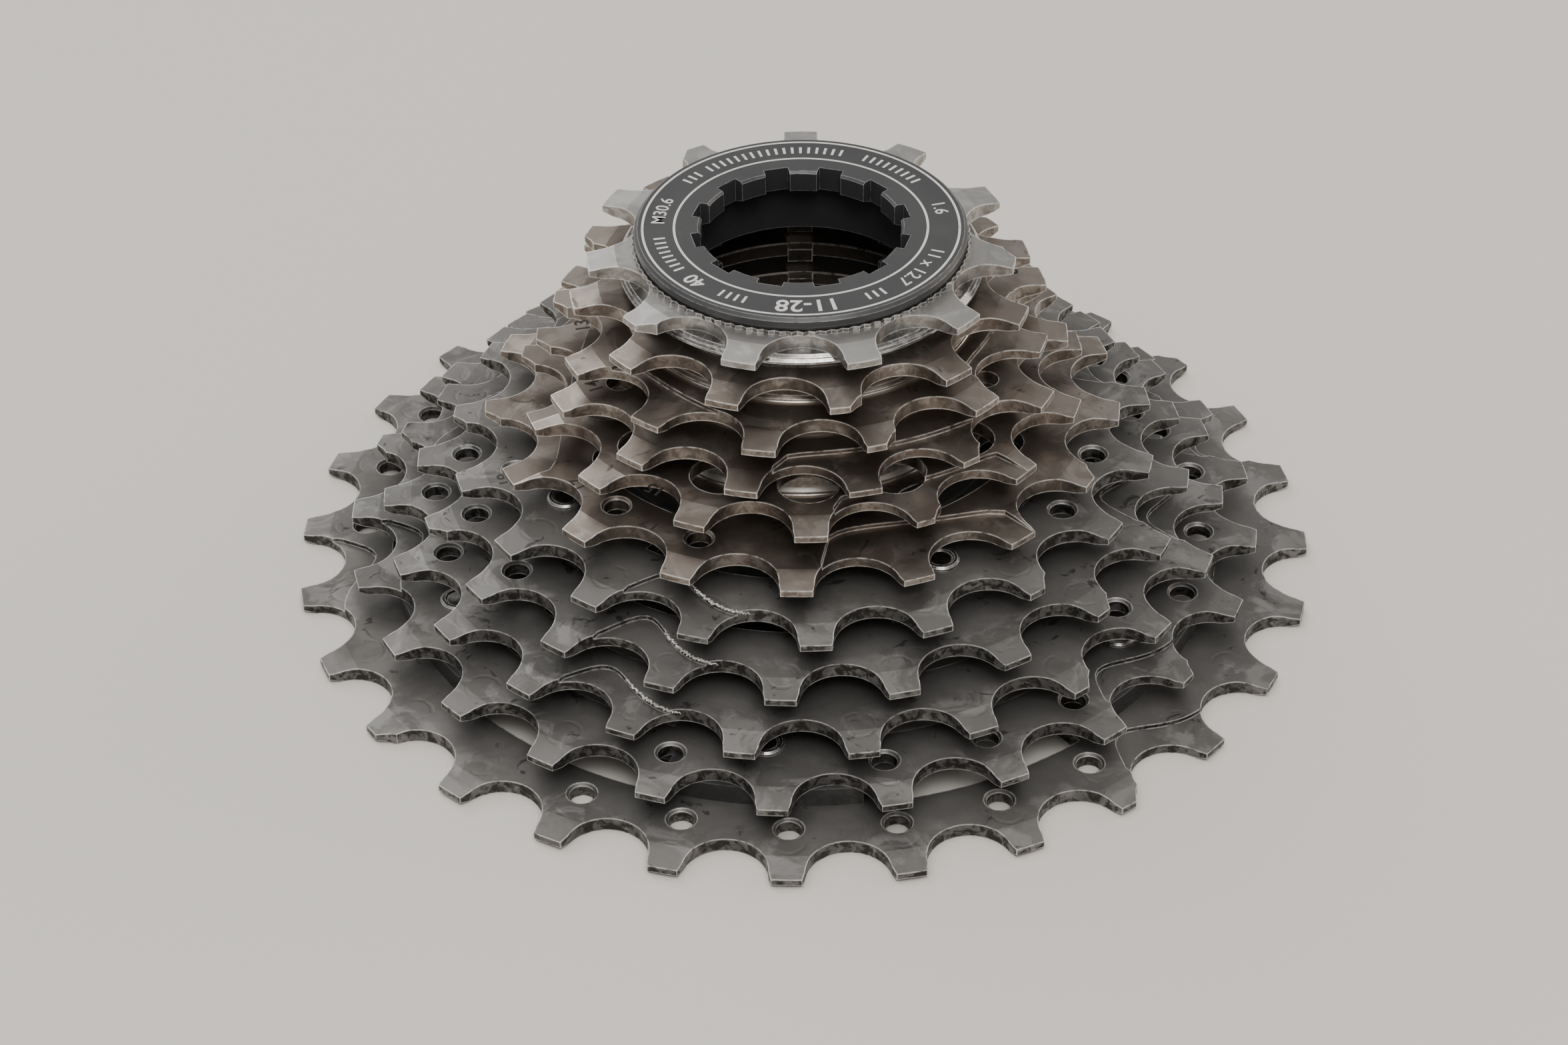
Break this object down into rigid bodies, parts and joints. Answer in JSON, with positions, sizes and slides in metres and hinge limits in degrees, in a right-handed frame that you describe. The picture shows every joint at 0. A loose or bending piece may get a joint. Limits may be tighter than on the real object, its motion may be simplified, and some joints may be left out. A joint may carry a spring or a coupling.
{
  "type": "bicycle cassette sprocket",
  "caption": "Stacked rear sprocket cassette for a road bicycle: toothed rings on two riveted carriers, loose sprockets and spacers, splined bore and a slotted lock ring.",
  "frame": {"origin": "centre of the back face, which stands on the table and meets the shoulder of the freehub", "axes": "+Z along the axis towards the lock ring; the narrow key tab of the bore is on +Y"},
  "size_m": [0.1146, 0.1146, 0.043],
  "materials": {
    "titanium": "bead-blasted dark titanium grey",
    "nickel": "worn satin nickel plate, warm",
    "bright_nickel": "bright satin nickel plate",
    "black_carrier": "black moulded carrier",
    "black_spacer": "black spacer",
    "dark_chrome": "dark polished plate",
    "rivet_steel": "bright steel",
    "black_anodised": "black anodised, satin"
  },
  "bodies": {
    "large_unit": {"large_spider": "black_carrier", "sprocket_28": "titanium", "sprocket_25": "titanium", "sprocket_23": "titanium", "rivets_28": "rivet_steel", "rivets_25": "rivet_steel", "rivets_23": "rivet_steel"},
    "small_unit": {"small_spider": "black_carrier", "sprocket_21": "titanium", "sprocket_19": "titanium", "rivets_21": "rivet_steel", "rivets_19": "rivet_steel"},
    "spacer_17_body": {"spacer_17": "black_spacer"},
    "sprocket_17_body": {"sprocket_17": "nickel"},
    "spacer_15_body": {"spacer_15": "black_spacer"},
    "sprocket_15_body": {"sprocket_15": "nickel"},
    "spacer_14_body": {"spacer_14": "black_spacer"},
    "sprocket_14_body": {"sprocket_14": "nickel"},
    "spacer_13_body": {"spacer_13": "nickel"},
    "sprocket_13_body": {"sprocket_13": "nickel"},
    "sprocket_12_body": {"sprocket_12": "nickel"},
    "spacer_11_body": {"spacer_11": "dark_chrome"},
    "sprocket_11_body": {"sprocket_11": "bright_nickel"},
    "lock_washer_body": {"lock_washer": "dark_chrome"},
    "lock_ring_body": {"lock_ring": "black_anodised"}
  },
  "joints": [
    {"name": "small_unit_lift", "type": "slide", "parent": "large_unit", "child": "small_unit", "axis": [0, 0, 1], "range_m": [0, 0.012]},
    {"name": "spacer_17_lift", "type": "slide", "parent": "small_unit", "child": "spacer_17_body", "axis": [0, 0, 1], "range_m": [0, 0.012]},
    {"name": "sprocket_17_lift", "type": "slide", "parent": "spacer_17_body", "child": "sprocket_17_body", "axis": [0, 0, 1], "range_m": [0, 0.012]},
    {"name": "spacer_15_lift", "type": "slide", "parent": "sprocket_17_body", "child": "spacer_15_body", "axis": [0, 0, 1], "range_m": [0, 0.012]},
    {"name": "sprocket_15_lift", "type": "slide", "parent": "spacer_15_body", "child": "sprocket_15_body", "axis": [0, 0, 1], "range_m": [0, 0.012]},
    {"name": "spacer_14_lift", "type": "slide", "parent": "sprocket_15_body", "child": "spacer_14_body", "axis": [0, 0, 1], "range_m": [0, 0.012]},
    {"name": "sprocket_14_lift", "type": "slide", "parent": "spacer_14_body", "child": "sprocket_14_body", "axis": [0, 0, 1], "range_m": [0, 0.012]},
    {"name": "spacer_13_lift", "type": "slide", "parent": "sprocket_14_body", "child": "spacer_13_body", "axis": [0, 0, 1], "range_m": [0, 0.012]},
    {"name": "sprocket_13_lift", "type": "slide", "parent": "spacer_13_body", "child": "sprocket_13_body", "axis": [0, 0, 1], "range_m": [0, 0.012]},
    {"name": "sprocket_12_lift", "type": "slide", "parent": "sprocket_13_body", "child": "sprocket_12_body", "axis": [0, 0, 1], "range_m": [0, 0.012]},
    {"name": "spacer_11_lift", "type": "slide", "parent": "sprocket_12_body", "child": "spacer_11_body", "axis": [0, 0, 1], "range_m": [0, 0.012]},
    {"name": "sprocket_11_lift", "type": "slide", "parent": "spacer_11_body", "child": "sprocket_11_body", "axis": [0, 0, 1], "range_m": [0, 0.012]},
    {"name": "lock_washer_lift", "type": "slide", "parent": "sprocket_11_body", "child": "lock_washer_body", "axis": [0, 0, 1], "range_m": [0, 0.0081]},
    {"name": "lock_ring_turn", "type": "hinge", "parent": "lock_washer_body", "child": "lock_ring_body", "pos_m": [0, 0, 0.04], "axis": [0, 0, 1], "range_deg": [0, 2880]}
  ],
  "couplings": [
    {"joint": "lock_washer_lift", "follows": "lock_ring_turn", "m_per_rad": 0.00015915}
  ]
}
